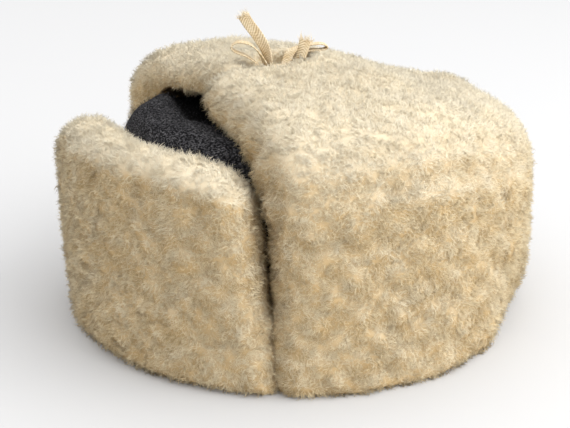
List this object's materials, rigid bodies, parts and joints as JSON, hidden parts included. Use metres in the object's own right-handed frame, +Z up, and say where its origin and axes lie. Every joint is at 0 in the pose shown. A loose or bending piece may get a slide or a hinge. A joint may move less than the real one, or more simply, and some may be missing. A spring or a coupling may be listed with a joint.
{
  "type": "ushanka",
  "caption": "Sheepskin winter hat with a grey cloth crown, a turned-up front peak, and ear flaps turned up and tied over the top with cotton tape.",
  "frame": {"origin": "middle of the rim, on the surface that the hat rests on", "axes": "+Z up, -Y to the front where the peak is, +X to the wearer's left"},
  "size_m": [0.2708, 0.2815, 0.1746],
  "materials": {
    "cloth": "charcoal heathered felt cloth",
    "wool": "cream shorn sheepskin fleece, wool outwards",
    "tape": "unbleached herringbone cotton tape with frayed ends"
  },
  "bodies": {
    "root": {"crown": "cloth", "peak": "wool", "ear_flap_left": "wool", "ear_flap_right": "wool", "tie_tape_left": "tape", "tie_tape_right": "tape", "tie_knot": "tape"}
  },
  "joints": []
}
